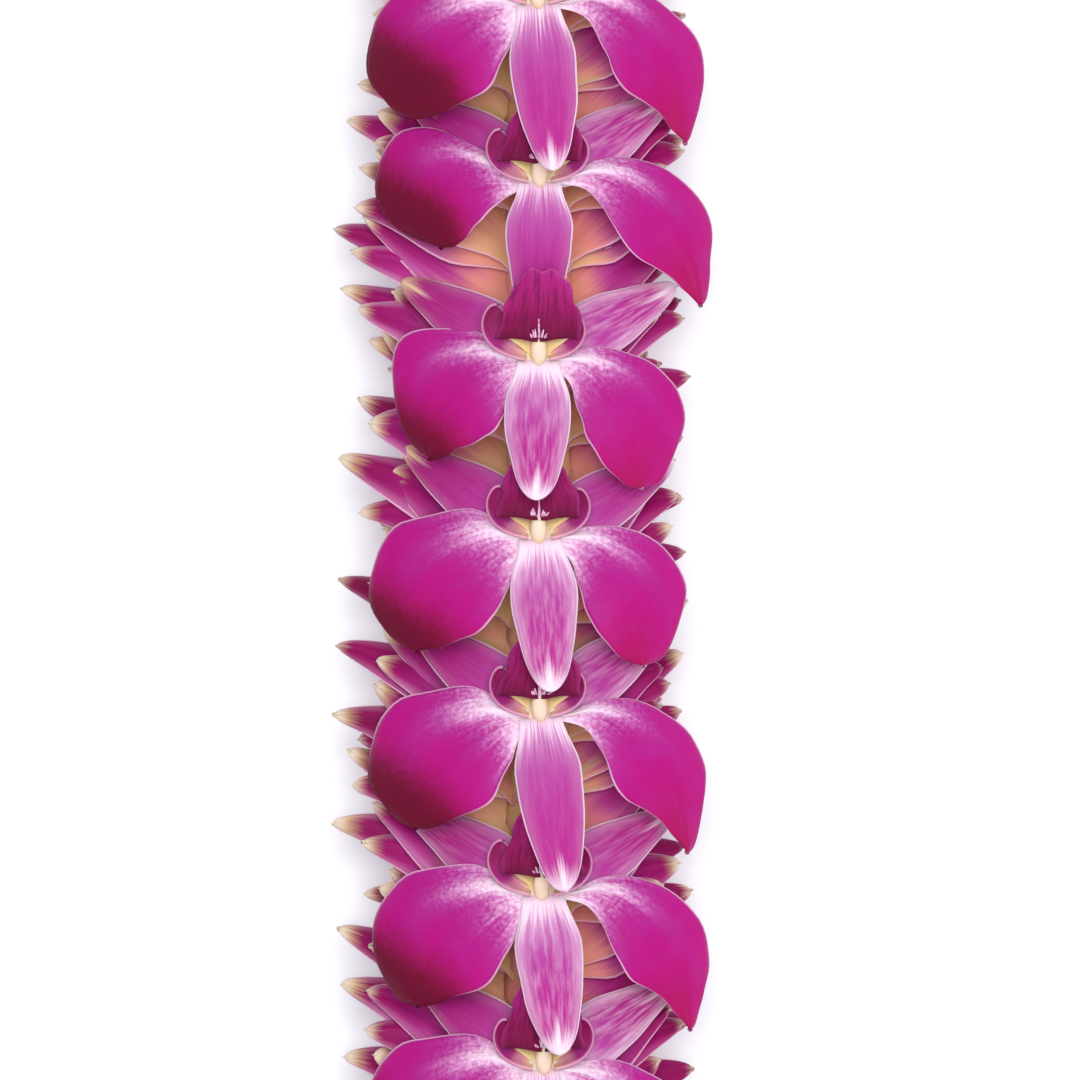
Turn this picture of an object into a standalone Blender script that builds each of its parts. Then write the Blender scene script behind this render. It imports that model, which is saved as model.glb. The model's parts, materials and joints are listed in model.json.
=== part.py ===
"""A fresh orchid lei, closed and laid flat in a long oval.

Twenty-nine dendrobium blossoms face up in a row. Behind each one a nest of three more
blossoms is threaded, one inside the next, and one string runs through all of them.
Metres, +Z up. The origin is on the surface the lei lies on, in the middle of the oval.
"""

import math

import bmesh
import bpy
from mathutils import Matrix, Vector

# The loop
BLOSSOM_COUNT = 29
PITCH = 0.033
LOOP_LENGTH = BLOSSOM_COUNT * PITCH
STRAIGHT_LENGTH = 7 * PITCH
END_RADIUS = (LOOP_LENGTH - 2 * STRAIGHT_LENGTH) / (2 * math.pi)
STRING_HEIGHT = 0.019
STRING_RADIUS = 0.00045
STRING_STEP = PITCH / 2

# The blossom that faces up: heights are above the string
FACE_HEIGHT = 0.017
FACE_RADIUS = 0.003
FACE_TILT = 0.28
SIDE_DROOP = 5.5
TEPAL_WALL = 0.001
COLUMN_HEIGHT = 0.003
COLUMN_RADIUS = 0.0017
PEDICEL_RADIUS = 0.0023
PEDICEL_BELOW_STRING = 0.0023
PIERCED_RADIUS = 0.0013

# Each part of that blossom: direction in degrees, then rows of (distance out, half width,
# lift of the midline), then the distance of its tip. The lip ends in a blunt edge. They go
# round in this order, the first at DORSAL_ANGLE.
DORSAL_ANGLE = math.radians(-90)
DORSAL = (-90, ((0.011, 0.0055, 0.0010), (0.020, 0.0050, 0.0006)), 0.0280)
PETAL_RIGHT = (-33, ((0.012, 0.0063, 0.0010), (0.022, 0.0100, 0.0008)), 0.0310)
SEPAL_RIGHT = (27, ((0.014, 0.0055, 0.0006),), 0.0290)
LIP = (90, ((0.008, 0.0060, 0.0030), (0.0155, 0.0065, 0.0024)), None)
SEPAL_LEFT = (153, ((0.014, 0.0055, 0.0006),), 0.0300)
PETAL_LEFT = (213, ((0.012, 0.0063, 0.0010), (0.022, 0.0100, 0.0008)), 0.0310)
BLOSSOM_PARTS = (DORSAL, PETAL_RIGHT, SEPAL_RIGHT, LIP, SEPAL_LEFT, PETAL_LEFT)

# The nested blossoms
NESTED = 3
NESTED_SPACING = PITCH / NESTED
FIRST_NESTED = 0.005
THROAT_RADIUS = 0.003
THREAD_HOLE = 0.00095
NEST_WALL = 0.0012
RESTING_WALL = 0.0009
UPPER_FLATTENING = 0.29
# Corners of the throat, in degrees round the string. The short side at the top stays
# bare, and the pedicel of the blossom that faces up passes there.
THROAT_CORNERS = (76, 10, -55, -125, -190, -256)
# Each tepal of a nested blossom: its shoulder as (radius, half width, forward), then its tip
# as (radius, forward), in the order of the throat's corners from the outer side round to
# the inner side. The third one lies flat on the surface.
NESTED_TEPALS = (
    ((0.0170, 0.0070, 0.0115), (0.0300, 0.0180)),
    ((0.0175, 0.0075, 0.0115), (0.0325, 0.0180)),
    ((0.0195, 0.0075, 0.0120), (0.0330, 0.0200)),
    ((0.0180, 0.0075, 0.0115), (0.0370, 0.0180)),
    ((0.0170, 0.0070, 0.0115), (0.0330, 0.0180)),
)

# The knot
KNOT_AFTER_BLOSSOM = 15
KNOT_PLACE = 0.0034
KNOT_RADIUS = 0.0014
KNOT_THICKNESS = 0.0006


def clear_scene():
    for obj in list(bpy.data.objects):
        bpy.data.objects.remove(obj)


def collection(name):
    made = bpy.data.collections.new(name)
    bpy.context.scene.collection.children.link(made)
    return made


def material(name, colour, roughness):
    made = bpy.data.materials.new(name)
    made.use_nodes = True
    shader = made.node_tree.nodes["Principled BSDF"]
    shader.inputs["Base Color"].default_value = (*colour, 1)
    shader.inputs["Roughness"].default_value = roughness
    shader.inputs["Metallic"].default_value = 0
    return made


def add_object(name, mesh, finish, home):
    obj = bpy.data.objects.new(name, mesh)
    if not mesh.materials:
        mesh.materials.append(finish)
    home.objects.link(obj)
    return obj


def mesh_from(bm, name):
    bmesh.ops.recalc_face_normals(bm, faces=bm.faces)
    mesh = bpy.data.meshes.new(name)
    bm.to_mesh(mesh)
    bm.free()
    return mesh


def frame_at(along):
    """The frame of the loop at a length along it: X outwards, Y onwards, Z up."""
    along = (along + STRAIGHT_LENGTH / 2) % LOOP_LENGTH
    half_turn = math.pi * END_RADIUS
    turned = 0.0
    if along > STRAIGHT_LENGTH + half_turn:
        along -= STRAIGHT_LENGTH + half_turn
        turned = math.pi
    onwards = min(along, STRAIGHT_LENGTH) - STRAIGHT_LENGTH / 2
    bend = max(along - STRAIGHT_LENGTH, 0) / END_RADIUS
    half_loop = Matrix.Rotation(turned, 4, "Z") @ Matrix.Translation((0, onwards, STRING_HEIGHT))
    return half_loop @ Matrix.Rotation(bend, 4, "Z") @ Matrix.Translation((END_RADIUS, 0, 0))


def string_frame(along):
    """The same frame, moved onto the straight stretch of string between two of its points."""
    step = math.floor(along / STRING_STEP)
    start = frame_at(step * STRING_STEP).translation
    end = frame_at((step + 1) * STRING_STEP).translation
    frame = frame_at(along)
    frame.translation = start.lerp(end, along / STRING_STEP - step)
    return frame


# ---------------------------------------------------------------- the blossom that faces up


def face_height(x, y):
    """The blossom leans, its dorsal sepal high, and droops to both sides."""
    return FACE_HEIGHT - FACE_TILT * y - SIDE_DROOP * x * x


def face_point(angle, out, across, lift=0.0):
    ahead = Vector((math.cos(angle), math.sin(angle)))
    x, y = ahead * out + Vector((-ahead.y, ahead.x)) * across
    return Vector((x, y, face_height(x, y) + lift))


def draw_out(bm, edges):
    """Extrudes a chain of edges and gives the new vertices and edges."""
    made = bmesh.ops.extrude_edge_only(bm, edges=edges)["geom"]
    verts = [item for item in made if isinstance(item, bmesh.types.BMVert)]
    return verts, [item for item in made if isinstance(item, bmesh.types.BMEdge)]


def grow_part(bm, edges, direction, rows, tip):
    """One petal, sepal or lip, drawn out row by row from two edges of the flower's middle."""
    angle = math.radians(direction)
    across = Vector((-math.sin(angle), math.cos(angle), 0))
    for out, half_width, lift in rows:
        verts, edges = draw_out(bm, edges)
        verts.sort(key=lambda vert: vert.co.dot(across))
        verts[0].co = face_point(angle, out, -half_width)
        verts[1].co = face_point(angle, out, 0, lift)
        verts[2].co = face_point(angle, out, half_width)
    if tip is not None:
        verts, edges = draw_out(bm, edges)
        bmesh.ops.pointmerge(bm, verts=verts, merge_co=face_point(angle, tip, 0))


def blossom_sheet():
    """The flower as an open sheet: a round middle with six parts grown from its edge."""
    bm = bmesh.new()
    parts = len(BLOSSOM_PARTS)
    corners = bmesh.ops.create_circle(bm, segments=2 * parts, radius=FACE_RADIUS)["verts"]
    for index, corner in enumerate(corners):
        angle = DORSAL_ANGLE + math.pi / parts * (index - 1)
        corner.co = face_point(angle, FACE_RADIUS, 0)
    for index, (direction, rows, tip) in enumerate(BLOSSOM_PARTS):
        chain = [corners[(2 * index + step) % len(corners)] for step in range(3)]
        edges = [bm.edges.get(pair) for pair in (chain[:2], chain[1:])]
        grow_part(bm, edges, direction, rows, tip)
    bmesh.ops.contextual_create(bm, geom=corners)
    return mesh_from(bm, "blossom_sheet")


def rod(name, segments, radii, start, end):
    """A straight tapered rod between two points."""
    axis = end - start
    turn = axis.to_track_quat("Z", "Y").to_matrix().to_4x4()
    place = Matrix.Translation((start + end) / 2) @ turn
    bm = bmesh.new()
    bmesh.ops.create_cone(
        bm,
        cap_ends=True,
        segments=segments,
        radius1=radii[0],
        radius2=radii[1],
        depth=axis.length,
        matrix=place,
    )
    return mesh_from(bm, name)


def boolean(obj, operation, other):
    modifier = obj.modifiers.new(operation.lower(), "BOOLEAN")
    modifier.operation = operation
    modifier.solver = "EXACT"
    modifier.object = other


def blossom_mesh(finish, helpers):
    """The flower's sheet given its thickness, joined to its pedicel, and pierced for the string."""
    sheet = add_object("blossom_form", blossom_sheet(), finish, helpers)
    foot = Vector((0, 0, -PEDICEL_BELOW_STRING))
    head = Vector((0, 0, FACE_HEIGHT + COLUMN_HEIGHT))
    pedicel = rod("pedicel", 6, (PEDICEL_RADIUS, COLUMN_RADIUS), foot, head)
    through = Vector((0, 2 * PEDICEL_RADIUS, 0))
    needle = rod("needle", 6, (PIERCED_RADIUS, PIERCED_RADIUS), -through, through)
    solidify = sheet.modifiers.new("thickness", "SOLIDIFY")
    solidify.thickness = TEPAL_WALL
    solidify.offset = -1
    boolean(sheet, "UNION", add_object("pedicel_form", pedicel, finish, helpers))
    boolean(sheet, "DIFFERENCE", add_object("needle_form", needle, finish, helpers))
    graph = bpy.context.evaluated_depsgraph_get()
    mesh = bpy.data.meshes.new_from_object(sheet.evaluated_get(graph))
    mesh.name = "blossom"
    return mesh


# ---------------------------------------------------------------- the nested blossoms


def nested_point(frame, angle, out, across, forward, lift):
    """A point of a nested blossom: flattened above the string, and never under the surface."""
    x = out * math.cos(angle) - across * math.sin(angle)
    z = out * math.sin(angle) + across * math.cos(angle)
    if z > 0:
        z = THROAT_RADIUS / 2 + z * UPPER_FLATTENING
    return frame @ Vector((x, forward, max(z, lift - STRING_HEIGHT)))


def ring(bm, frame, radius, forward):
    """A ring of vertices round the string, one at each corner of the throat."""
    verts = []
    for corner in THROAT_CORNERS:
        angle = math.radians(corner)
        spot = Vector((radius * math.cos(angle), forward, radius * math.sin(angle)))
        verts.append(bm.verts.new(frame @ spot))
    return verts


def band(bm, first, second):
    """Faces between two closed loops of vertices."""
    for index in range(len(first)):
        corners = (first[index - 1], first[index], second[index], second[index - 1])
        bm.faces.new(corners)


def nested_side(bm, frame, forward, lift):
    """One side of a nested blossom: its throat, and its outline round all five tepals."""
    throat = ring(bm, frame, THROAT_RADIUS, forward)
    outline = [throat[0]]
    for index, (shoulder, tip) in enumerate(NESTED_TEPALS):
        angle = math.radians(THROAT_CORNERS[index] + THROAT_CORNERS[index + 1]) / 2
        out, half_width, ahead = shoulder
        spots = [
            nested_point(frame, angle, out, half_width, forward + ahead, lift),
            nested_point(frame, angle, tip[0], 0, forward + tip[1], lift),
            nested_point(frame, angle, out, -half_width, forward + ahead, lift),
        ]
        left, point, right = (bm.verts.new(spot) for spot in spots)
        bm.faces.new((throat[index], left, right, throat[index + 1]))
        bm.faces.new((left, point, right))
        outline += [left, point, right, throat[index + 1]]
    return throat, outline


def nest_mesh(name, start):
    """Three blossoms one inside the next, joined at their throats round the string's hole."""
    bm = bmesh.new()
    places = [start + FIRST_NESTED + NESTED_SPACING * index for index in range(NESTED)]
    hole = ring(bm, string_frame(places[0]), THREAD_HOLE, 0)
    loop = hole
    for place in places:
        frame = frame_at(place)
        back, back_outline = nested_side(bm, frame, 0, 0)
        front, front_outline = nested_side(bm, frame, NEST_WALL, RESTING_WALL)
        band(bm, loop, back)
        band(bm, back_outline, front_outline)
        loop = front
    last = places[-1] + NEST_WALL
    for place in (last, start + STRING_STEP):
        inner = ring(bm, string_frame(place), THREAD_HOLE, 0)
        band(bm, loop, inner)
        loop = inner
    band(bm, loop, hole)
    return mesh_from(bm, name)


# ---------------------------------------------------------------- the string and its knot


def add_string(finish, home):
    curve = bpy.data.curves.new("lei_string", "CURVE")
    curve.dimensions = "3D"
    curve.bevel_depth = STRING_RADIUS
    curve.bevel_resolution = 1
    spline = curve.splines.new("POLY")
    steps = round(LOOP_LENGTH / STRING_STEP)
    spline.points.add(steps - 1)
    spline.use_cyclic_u = True
    for step, point in enumerate(spline.points):
        point.co = (*frame_at(step * STRING_STEP).translation, 1)
    return add_object("lei_string", curve, finish, home)


def add_knot(finish, home):
    bpy.ops.mesh.primitive_torus_add(
        major_segments=12,
        minor_segments=6,
        major_radius=KNOT_RADIUS,
        minor_radius=KNOT_THICKNESS,
    )
    knot = bpy.context.active_object
    knot.name = "string_knot"
    knot.data.materials.append(finish)
    place = string_frame(KNOT_AFTER_BLOSSOM * PITCH + KNOT_PLACE)
    knot.matrix_world = place @ Matrix.Rotation(math.pi / 2, 4, "X")
    for holder in list(knot.users_collection):
        holder.objects.unlink(knot)
    home.objects.link(knot)
    return knot


def build():
    clear_scene()
    home = collection("orchid_lei")
    helpers = collection("forms")
    orchid = material("orchid_tepals", (0.53, 0.03, 0.27), 0.5)
    outside = material("orchid_tepal_backs", (0.60, 0.20, 0.26), 0.55)
    cotton = material("string_cotton", (0.85, 0.82, 0.74), 0.9)

    flower = blossom_mesh(orchid, helpers)
    for obj in helpers.objects:
        obj.hide_render = True
        obj.display_type = "WIRE"
    for index in range(BLOSSOM_COUNT):
        start = index * PITCH
        blossom = add_object(f"blossom_{index + 1:02d}", flower, orchid, home)
        blossom.matrix_world = frame_at(start)
        name = f"nest_{index + 1:02d}"
        add_object(name, nest_mesh(name, start), outside, home)
    add_string(cotton, home)
    add_knot(cotton, home)


build()
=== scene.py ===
"""A fresh orchid lei lying flat: face-up dendrobium blossoms over nests of threaded ones."""
import json
import math
import random

import bmesh
import bpy
from mathutils import Matrix, Vector, noise

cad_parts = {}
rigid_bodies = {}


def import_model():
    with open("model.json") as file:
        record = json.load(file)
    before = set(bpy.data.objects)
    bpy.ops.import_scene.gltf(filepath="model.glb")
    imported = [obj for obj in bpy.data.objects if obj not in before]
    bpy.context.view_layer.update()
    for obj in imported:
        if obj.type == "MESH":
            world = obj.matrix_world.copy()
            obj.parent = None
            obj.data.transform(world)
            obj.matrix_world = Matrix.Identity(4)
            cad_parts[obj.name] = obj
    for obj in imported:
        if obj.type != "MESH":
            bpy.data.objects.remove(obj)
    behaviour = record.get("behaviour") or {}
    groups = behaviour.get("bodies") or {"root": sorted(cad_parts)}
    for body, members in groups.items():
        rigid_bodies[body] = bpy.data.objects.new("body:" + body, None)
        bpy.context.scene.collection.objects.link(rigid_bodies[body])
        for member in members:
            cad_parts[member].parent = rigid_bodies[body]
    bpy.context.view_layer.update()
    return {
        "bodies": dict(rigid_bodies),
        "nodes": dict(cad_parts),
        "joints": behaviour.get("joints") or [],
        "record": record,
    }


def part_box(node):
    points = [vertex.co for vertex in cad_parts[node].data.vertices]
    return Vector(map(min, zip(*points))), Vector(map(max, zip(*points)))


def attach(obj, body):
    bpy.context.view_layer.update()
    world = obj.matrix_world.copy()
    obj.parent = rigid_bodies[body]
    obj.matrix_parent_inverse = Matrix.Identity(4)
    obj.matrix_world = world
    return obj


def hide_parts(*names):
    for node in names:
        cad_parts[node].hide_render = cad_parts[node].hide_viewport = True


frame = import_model()

# ---------------------------------------------------------------- the loop, read off the frame

BLOSSOM_NODES = sorted(name for name in frame["nodes"] if name.startswith("blossom_"))
COUNT = len(BLOSSOM_NODES)
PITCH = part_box("blossom_02")[0][1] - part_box("blossom_01")[0][1]
LOOP_LENGTH = COUNT * PITCH
STRAIGHT_PITCHES = 7
STRAIGHT_LENGTH = STRAIGHT_PITCHES * PITCH
END_RADIUS = (LOOP_LENGTH - 2 * STRAIGHT_LENGTH) / (2 * math.pi)
STRING_HEIGHT = (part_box("lei_string")[0][2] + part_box("lei_string")[1][2]) / 2
MM = 0.001


def frame_at(along):
    """The frame of the loop at a length along it: X outwards, Y onwards, Z up."""
    along = (along + STRAIGHT_LENGTH / 2) % LOOP_LENGTH
    half_turn = math.pi * END_RADIUS
    turned = 0.0
    if along > STRAIGHT_LENGTH + half_turn:
        along -= STRAIGHT_LENGTH + half_turn
        turned = math.pi
    onwards = min(along, STRAIGHT_LENGTH) - STRAIGHT_LENGTH / 2
    bend = max(along - STRAIGHT_LENGTH, 0) / END_RADIUS
    half_loop = Matrix.Rotation(turned, 4, "Z") @ Matrix.Translation((0, onwards, STRING_HEIGHT))
    return half_loop @ Matrix.Rotation(bend, 4, "Z") @ Matrix.Translation((END_RADIUS, 0, 0))


# ---------------------------------------------------------------- materials

# What every surface of the lei shares: its shine, and how far light goes into it.
SPECULAR = 0.11
SHEEN_ROUGHNESS = 0.5
FLESH_RADIUS = (1.0, 0.35, 0.5)
FLESH_DEPTH = 0.6 * MM
# How far apart in the noise two petals' patterns lie, and their waves.
SEED_SPREAD = 37.0
WAVE_SPREAD = 40
TWIST_SCALE = 700.0
FLOOR_GRAIN = 60.0
FLOOR_GLOW = 0.14


def linear(code):
    """A colour written as six hexadecimal digits, as linear red, green, blue and alpha."""
    parts = [int(code[place:place + 2], 16) / 255 for place in (0, 2, 4)]
    return [part / 12.92 if part <= 0.04045 else ((part + 0.055) / 1.055) ** 2.4 for part in parts] + [1]


class Finish:
    """A node material, with short ways to add the nodes that the petals' patterns need."""

    def __init__(self, name, roughness, sheen=0.0, subsurface=0.0, glow="ffffff"):
        self.material = bpy.data.materials.new(name)
        self.material.use_nodes = True
        self.tree = self.material.node_tree
        self.shader = self.tree.nodes["Principled BSDF"]
        self.shader.inputs["Roughness"].default_value = roughness
        self.shader.inputs["Specular IOR Level"].default_value = SPECULAR
        self.shader.inputs["Sheen Weight"].default_value = sheen
        self.shader.inputs["Sheen Roughness"].default_value = SHEEN_ROUGHNESS
        self.shader.inputs["Sheen Tint"].default_value = linear(glow)
        self.shader.inputs["Subsurface Weight"].default_value = subsurface
        self.shader.inputs["Subsurface Radius"].default_value = FLESH_RADIUS
        self.shader.inputs["Subsurface Scale"].default_value = FLESH_DEPTH
        uv = self.node("ShaderNodeUVMap")
        uv.uv_map = "petal"
        split = self.node("ShaderNodeSeparateXYZ", Vector=uv.outputs[0])
        self.across, self.along = split.outputs[0], split.outputs[1]
        tint = self.node("ShaderNodeAttribute")
        tint.attribute_name = "tint"
        split = self.node("ShaderNodeSeparateXYZ", Vector=tint.outputs["Vector"])
        # The first channel darkens petal and tepal ends to wine: partly their own crimson, partly painted
        # shade on the inner side of the loop, away from the key light.
        self.dusk, self.pale, self.seed = split.outputs[0], split.outputs[1], split.outputs[2]
        self.edge = self.maths("ABSOLUTE", self.maths("MULTIPLY_ADD", self.across, 2, -1))

    def node(self, kind, **inputs):
        """Adds a node and feeds its named inputs."""
        made = self.tree.nodes.new(kind)
        for name, value in inputs.items():
            self.feed(made.inputs[name], value)
        return made

    def feed(self, socket, value):
        """Links a socket, or sets its plain value."""
        if isinstance(value, bpy.types.NodeSocket):
            self.tree.links.new(value, socket)
        else:
            socket.default_value = value

    def maths(self, operation, first, second=0.0, third=0.0):
        """The result of a math node."""
        made = self.node("ShaderNodeMath")
        made.operation = operation
        for socket, value in zip(made.inputs, (first, second, third)):
            self.feed(socket, value)
        return made.outputs[0]

    def smooth(self, value, low, high, start=0.0, end=1.0):
        """The value mapped from low and high to start and end, eased."""
        made = self.node("ShaderNodeMapRange", Value=value)
        made.interpolation_type = "SMOOTHSTEP"
        for name, number in (("From Min", low), ("From Max", high), ("To Min", start), ("To Max", end)):
            made.inputs[name].default_value = number
        return made.outputs[0]

    def times(self, *values):
        """The product of all the values."""
        product = values[0]
        for value in values[1:]:
            product = self.maths("MULTIPLY", product, value)
        return product

    def streaks(self, across_scale, along_scale, detail=3.0, offset=0.0):
        """Noise drawn out along the petal, different on every petal."""
        place = self.node(
            "ShaderNodeCombineXYZ",
            X=self.maths("MULTIPLY_ADD", self.across, across_scale, offset),
            Y=self.maths("MULTIPLY", self.along, along_scale),
            Z=self.maths("MULTIPLY", self.seed, SEED_SPREAD),
        )
        made = self.node("ShaderNodeTexNoise", Vector=place.outputs[0], Scale=1.0, Detail=detail)
        return made.outputs["Fac"]

    def grain(self, scale, detail=2.0):
        """Noise of one size in every direction."""
        place = self.node("ShaderNodeTexCoord")
        made = self.node(
            "ShaderNodeTexNoise", Vector=place.outputs["Object"], Scale=scale, Detail=detail
        )
        return made.outputs["Fac"]

    def ramp(self, value, *stops):
        """A colour for the value, between stops."""
        made = self.node("ShaderNodeValToRGB", Fac=value)
        made.color_ramp.interpolation = "B_SPLINE" if len(stops) > 5 else "EASE"
        points = made.color_ramp.elements
        for place, code in stops[1:-1]:
            points.new(place).color = linear(code)
        points[0].position, points[0].color = stops[0][0], linear(stops[0][1])
        points[-1].position, points[-1].color = stops[-1][0], linear(stops[-1][1])
        return made.outputs[0]

    def blend(self, factor, first, second, how="MIX"):
        """The first colour, or the second where the factor is 1."""
        made = self.node("ShaderNodeMix")
        made.data_type = "RGBA"
        made.blend_type = how
        made.clamp_factor = True
        self.feed(made.inputs["Factor"], factor)
        for place, value in (("A", first), ("B", second)):
            socket = next(s for s in made.inputs if s.name == place and s.type == "RGBA")
            self.feed(socket, linear(value) if isinstance(value, str) else value)
        return next(s for s in made.outputs if s.type == "RGBA")

    def done(self, colour, height=None, depth=0.2 * MM, strength=0.3, roughness=None):
        """Feeds the shader, and gives the finished material."""
        self.feed(self.shader.inputs["Base Color"], colour)
        if roughness is not None:
            self.feed(self.shader.inputs["Roughness"], roughness)
        if height is not None:
            bump = self.node("ShaderNodeBump", Height=height, Distance=depth, Strength=strength)
            self.feed(self.shader.inputs["Normal"], bump.outputs[0])
        return self.material


def petal_front():
    """The broad side petals: white streaks at the claw, hot magenta, and a crimson end, which on the inner
    petals darkens to wine as painted shade.
    """
    f = Finish("orchid_petal", 0.46, sheen=0.03, subsurface=0.12, glow="ffb8e8")
    streak = f.streaks(38, 3.4, 4.0)
    broad = f.streaks(4, 1.8, 2.0, offset=4)
    near = f.smooth(f.along, 0.62, 0.25, 0.05, 0.20)
    fleck = f.maths("MULTIPLY_ADD", f.maths("SUBTRACT", f.grain(1300, 5.0), 0.5), 1.5, streak)
    wander = f.maths("MULTIPLY_ADD", f.maths("SUBTRACT", fleck, 0.5), near, f.along)
    wander = f.maths("MULTIPLY_ADD", f.maths("SUBTRACT", broad, 0.5), 0.18, wander)
    wander = f.maths("SUBTRACT", wander, f.maths("MULTIPLY", f.pale, 0.04))
    ridge = f.times(f.smooth(f.across, 0.50, 0.68), f.smooth(f.across, 0.90, 0.72), 0.13)
    lower_side = f.times(f.smooth(f.across, 0.24, 0.0), 0.08)
    wander = f.maths("SUBTRACT", wander, f.maths("ADD", ridge, lower_side))
    colour = f.ramp(
        wander, (0.0, "f2dce8"), (0.09, "eac6dc"), (0.17, "d088ba"), (0.26, "b04092"),
        (0.36, "a8187e"), (0.52, "b00678"), (0.80, "b00670"), (1.0, "a2065c"),
    )
    mottle = f.smooth(f.grain(190, 5.0), 0.46, 0.72, 0.0, 0.24)
    colour = f.blend(f.times(mottle, f.smooth(f.along, 0.2, 0.5)), colour, "a42c8c")
    # Painted shade over the petals' own crimson: the inner petals' lower outer ends darken to a speckled
    # wine.
    wine_shade_mask = f.maths("MULTIPLY_ADD", f.maths("SUBTRACT", f.grain(900, 4.0), 0.5), 0.30, f.dusk)
    wine_shade_mask = f.maths("MULTIPLY_ADD", f.maths("SUBTRACT", f.grain(130, 2.0), 0.5), 0.25, wine_shade_mask)
    wine_and_shade = f.blend(f.smooth(wine_shade_mask, 0.35, 1.0), "86083f", "620420")
    colour = f.blend(f.times(f.smooth(wine_shade_mask, 0.0, 0.85), f.smooth(f.dusk, 0.0, 0.2), 0.96), colour, wine_and_shade)
    flush = f.times(f.smooth(f.along, 0.50, 0.95), f.smooth(f.across, 0.9, 0.3))
    flush = f.times(flush, f.maths("SUBTRACT", 1.0, f.dusk), 0.7)
    colour = f.blend(flush, colour, "a50f4a")
    veins = f.smooth(f.streaks(85, 1.3, 1.0, offset=11), 0.30, 0.62, 0.965, 1.01)
    shade = f.node("ShaderNodeCombineColor", Red=veins, Green=veins, Blue=veins)
    colour = f.blend(1.0, colour, shade.outputs[0], "MULTIPLY")
    rim = f.maths("MAXIMUM", f.smooth(f.edge, 0.966, 0.99), f.smooth(f.along, 0.988, 0.998))
    rim = f.times(rim, f.smooth(f.along, 0.95, 0.45, 0.30, 0.90))
    colour = f.blend(f.times(rim, f.maths("SUBTRACT", 1.0, f.dusk)), colour, "f2bcdc")
    height = f.maths("MULTIPLY_ADD", f.grain(2600), 0.5, f.streaks(70, 2.0, 2.0))
    return f.done(colour, height, 0.12 * MM, 0.35, f.smooth(f.grain(900), 0.3, 0.7, 0.42, 0.56))


def sepal_front():
    """The narrow sepals: streaky pink from white at the base, pale margins and a white tip."""
    f = Finish("orchid_sepal", 0.48, sheen=0.03, subsurface=0.12, glow="ffb8e8")
    streak = f.streaks(30, 3.2, 5.0)
    wander = f.maths("MULTIPLY_ADD", f.maths("SUBTRACT", streak, 0.5), 0.42, f.along)
    wander = f.maths("SUBTRACT", wander, f.maths("MULTIPLY", f.pale, 0.12))
    wander = f.maths("SUBTRACT", wander, f.times(f.smooth(f.edge, 0.70, 1.0), 0.10))
    colour = f.ramp(
        wander, (0.0, "f0d6e4"), (0.05, "dfb2ce"), (0.12, "c070aa"), (0.24, "ae4496"),
        (0.50, "ad2a88"), (0.78, "af1f82"), (1.0, "b02886"),
    )
    # Painted shade over the sepal's own crimson: its outer end darkens to wine, most on the inner lateral
    # sepal.
    dusk = f.times(f.smooth(f.along, 0.25, 0.8), f.dusk, 0.75)
    colour = f.blend(dusk, colour, "7c0c3c")
    chalk = f.smooth(f.streaks(16, 6.0, 6.0, offset=6), 0.36, 0.80, 0.0, 0.50)
    colour = f.blend(f.times(chalk, f.smooth(f.pale, 0.0, 0.9, 0.05, 0.9)), colour, "ecc8de")
    frayed = f.maths("MULTIPLY_ADD", f.maths("SUBTRACT", streak, 0.5), 0.26, f.along)
    frayed = f.maths("MULTIPLY_ADD", f.pale, 0.05, frayed)
    frayed = f.maths("MULTIPLY_ADD", f.smooth(f.edge, 0.30, 0.0), 0.09, frayed)
    tip = f.smooth(frayed, 0.84, 1.03)
    crisp = f.times(f.smooth(f.edge, 0.93, 0.975), 0.9)
    soft = f.times(f.smooth(f.edge, 0.45, 1.0), f.smooth(f.pale, 0.0, 1.0, 0.08, 0.42))
    margin = f.maths("MAXIMUM", crisp, soft)
    tan = f.times(f.smooth(f.seed, 0.20, 0.24), f.smooth(f.dusk, 0.2, 0.4), f.smooth(f.along, 0.7, 0.9))
    pale = f.blend(tan, "f4dce9", "dcbc90")
    colour = f.blend(f.maths("MAXIMUM", f.times(tip, 0.95), margin), colour, pale)
    height = f.maths("MULTIPLY_ADD", f.grain(2600), 0.4, f.streaks(60, 1.6, 2.0))
    return f.done(colour, height, 0.14 * MM, 0.40, f.smooth(f.grain(900), 0.3, 0.7, 0.42, 0.56))


def tepal_back():
    """The outside of the face-up blossoms: mauve, with paler veins and base."""
    f = Finish("orchid_back", 0.55, subsurface=0.12)
    streak = f.streaks(30, 1.6, 3.0)
    wander = f.maths("MULTIPLY_ADD", f.maths("SUBTRACT", streak, 0.5), 0.35, f.along)
    colour = f.ramp(
        wander, (0.0, "e6d2b0"), (0.18, "e0b6b0"), (0.36, "cf84b4"), (0.60, "bb4a9c"), (1.0, "b02a86")
    )
    rim = f.times(f.smooth(f.edge, 0.93, 0.99), 0.7)
    colour = f.blend(rim, colour, "f2c2de")
    return f.done(colour, f.streaks(60, 1.6, 2.0), 0.15 * MM, 0.4)


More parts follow.
